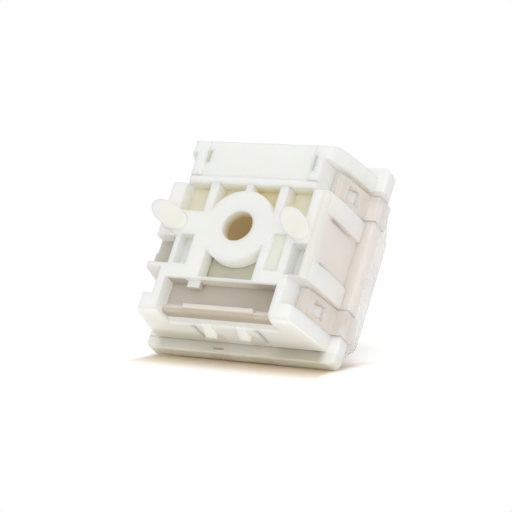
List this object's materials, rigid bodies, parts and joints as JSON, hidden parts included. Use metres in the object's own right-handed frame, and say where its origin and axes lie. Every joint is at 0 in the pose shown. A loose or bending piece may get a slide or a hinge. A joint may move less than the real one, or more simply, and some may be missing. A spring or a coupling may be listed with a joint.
{
  "type": "mechanical keyboard switch",
  "caption": "Contactless plug-in keyboard switch: milky lower housing with slant-cut pegs, clear upper housing, sprung stem with cross mount and magnet.",
  "frame": {"origin": "on the stem's axis, in the plane of the board seat, midway between the two pegs", "axes": "+Z from the board towards the keycap, +X along the line of the two pegs, -Y towards the lamp pocket"},
  "size_m": [0.0156, 0.0156, 0.0176],
  "materials": {
    "milky_housing": "satin milky nylon, slightly see-through where thin",
    "clear_housing": "clear polycarbonate",
    "stem_plastic": "smooth moulded acetal",
    "magnet_plating": "nickel plated",
    "spring_steel": "bright drawn wire"
  },
  "bodies": {
    "housing": {"bottom_housing": "milky_housing", "top_housing": "clear_housing", "return_spring": "spring_steel"},
    "slider": {"stem": "stem_plastic", "magnet": "magnet_plating"}
  },
  "joints": [
    {"name": "stem_travel", "type": "slide", "parent": "housing", "child": "slider", "axis": [0, 0, -1], "range_m": [0, 0.004], "stiffness_N_per_m": 70, "springref_m": -0.004, "deforming": ["return_spring"]}
  ]
}
